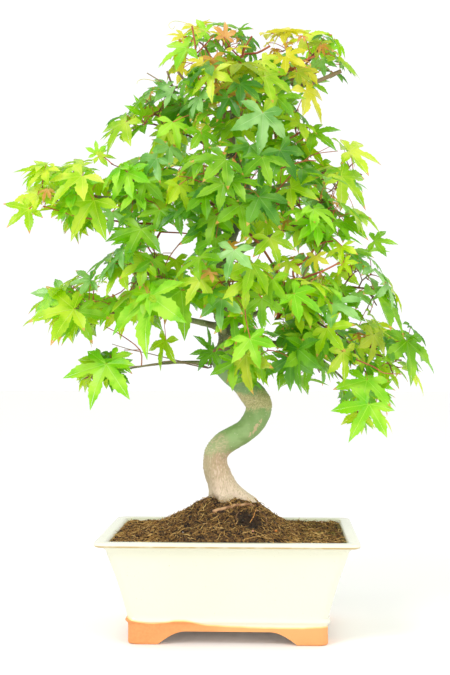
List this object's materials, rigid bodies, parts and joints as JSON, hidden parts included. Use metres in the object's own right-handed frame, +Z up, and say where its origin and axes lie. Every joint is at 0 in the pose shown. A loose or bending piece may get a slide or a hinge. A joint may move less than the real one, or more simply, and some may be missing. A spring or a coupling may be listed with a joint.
{
  "type": "potted japanese maple bonsai",
  "caption": "Bonsai of a Japanese maple with a bent trunk and layered foliage, standing in a rectangular glazed pot on bracket feet.",
  "frame": {"origin": "on the ground under the middle of the pot", "axes": "+X along the pot's long side, to the right from the front; +Y away from the front; +Z up"},
  "size_m": [0.4615, 0.2898, 0.652],
  "materials": {
    "pot": "gloss",
    "soil": "matte",
    "bark": "satin",
    "leaf": "satin"
  },
  "bodies": {
    "root": {"bough_apex_left": "bark", "bough_apex_right": "bark", "bough_back_low": "bark", "bough_back_low_left": "bark", "bough_back_low_right": "bark", "bough_back_mid_left": "bark", "bough_back_mid_right": "bark", "bough_centre_front": "bark", "bough_centre_low": "bark", "bough_front_foot": "bark", "bough_left_arm": "bark", "bough_left_hanging": "bark", "bough_left_inner": "bark", "bough_left_low_arm": "bark", "bough_left_low_inner": "bark", "bough_low_centre_right": "bark", "bough_right_hanging": "bark", "bough_right_low_inner": "bark", "bough_right_low_outer": "bark", "bough_right_mid": "bark", "bough_right_outer": "bark", "bough_right_shoulder": "bark", "bough_upper_left": "bark", "bough_upper_right": "bark", "foliage_apex_left": "leaf", "foliage_apex_right": "leaf", "foliage_back_low": "leaf", "foliage_back_low_left": "leaf", "foliage_back_low_right": "leaf", "foliage_back_mid_left": "leaf", "foliage_back_mid_right": "leaf", "foliage_back_top": "leaf", "foliage_centre_front": "leaf", "foliage_centre_low": "leaf", "foliage_front_foot": "leaf", "foliage_left_arm": "leaf", "foliage_left_hanging": "leaf", "foliage_left_inner": "leaf", "foliage_left_low_arm": "leaf", "foliage_left_low_inner": "leaf", "foliage_low_centre_right": "leaf", "foliage_right_hanging": "leaf", "foliage_right_low_inner": "leaf", "foliage_right_low_outer": "leaf", "foliage_right_mid": "leaf", "foliage_right_outer": "leaf", "foliage_right_shoulder": "leaf", "foliage_upper_front": "leaf", "foliage_upper_left": "leaf", "foliage_upper_right": "leaf", "pot": "pot", "soil": "soil", "trunk": "bark"}
  },
  "joints": []
}
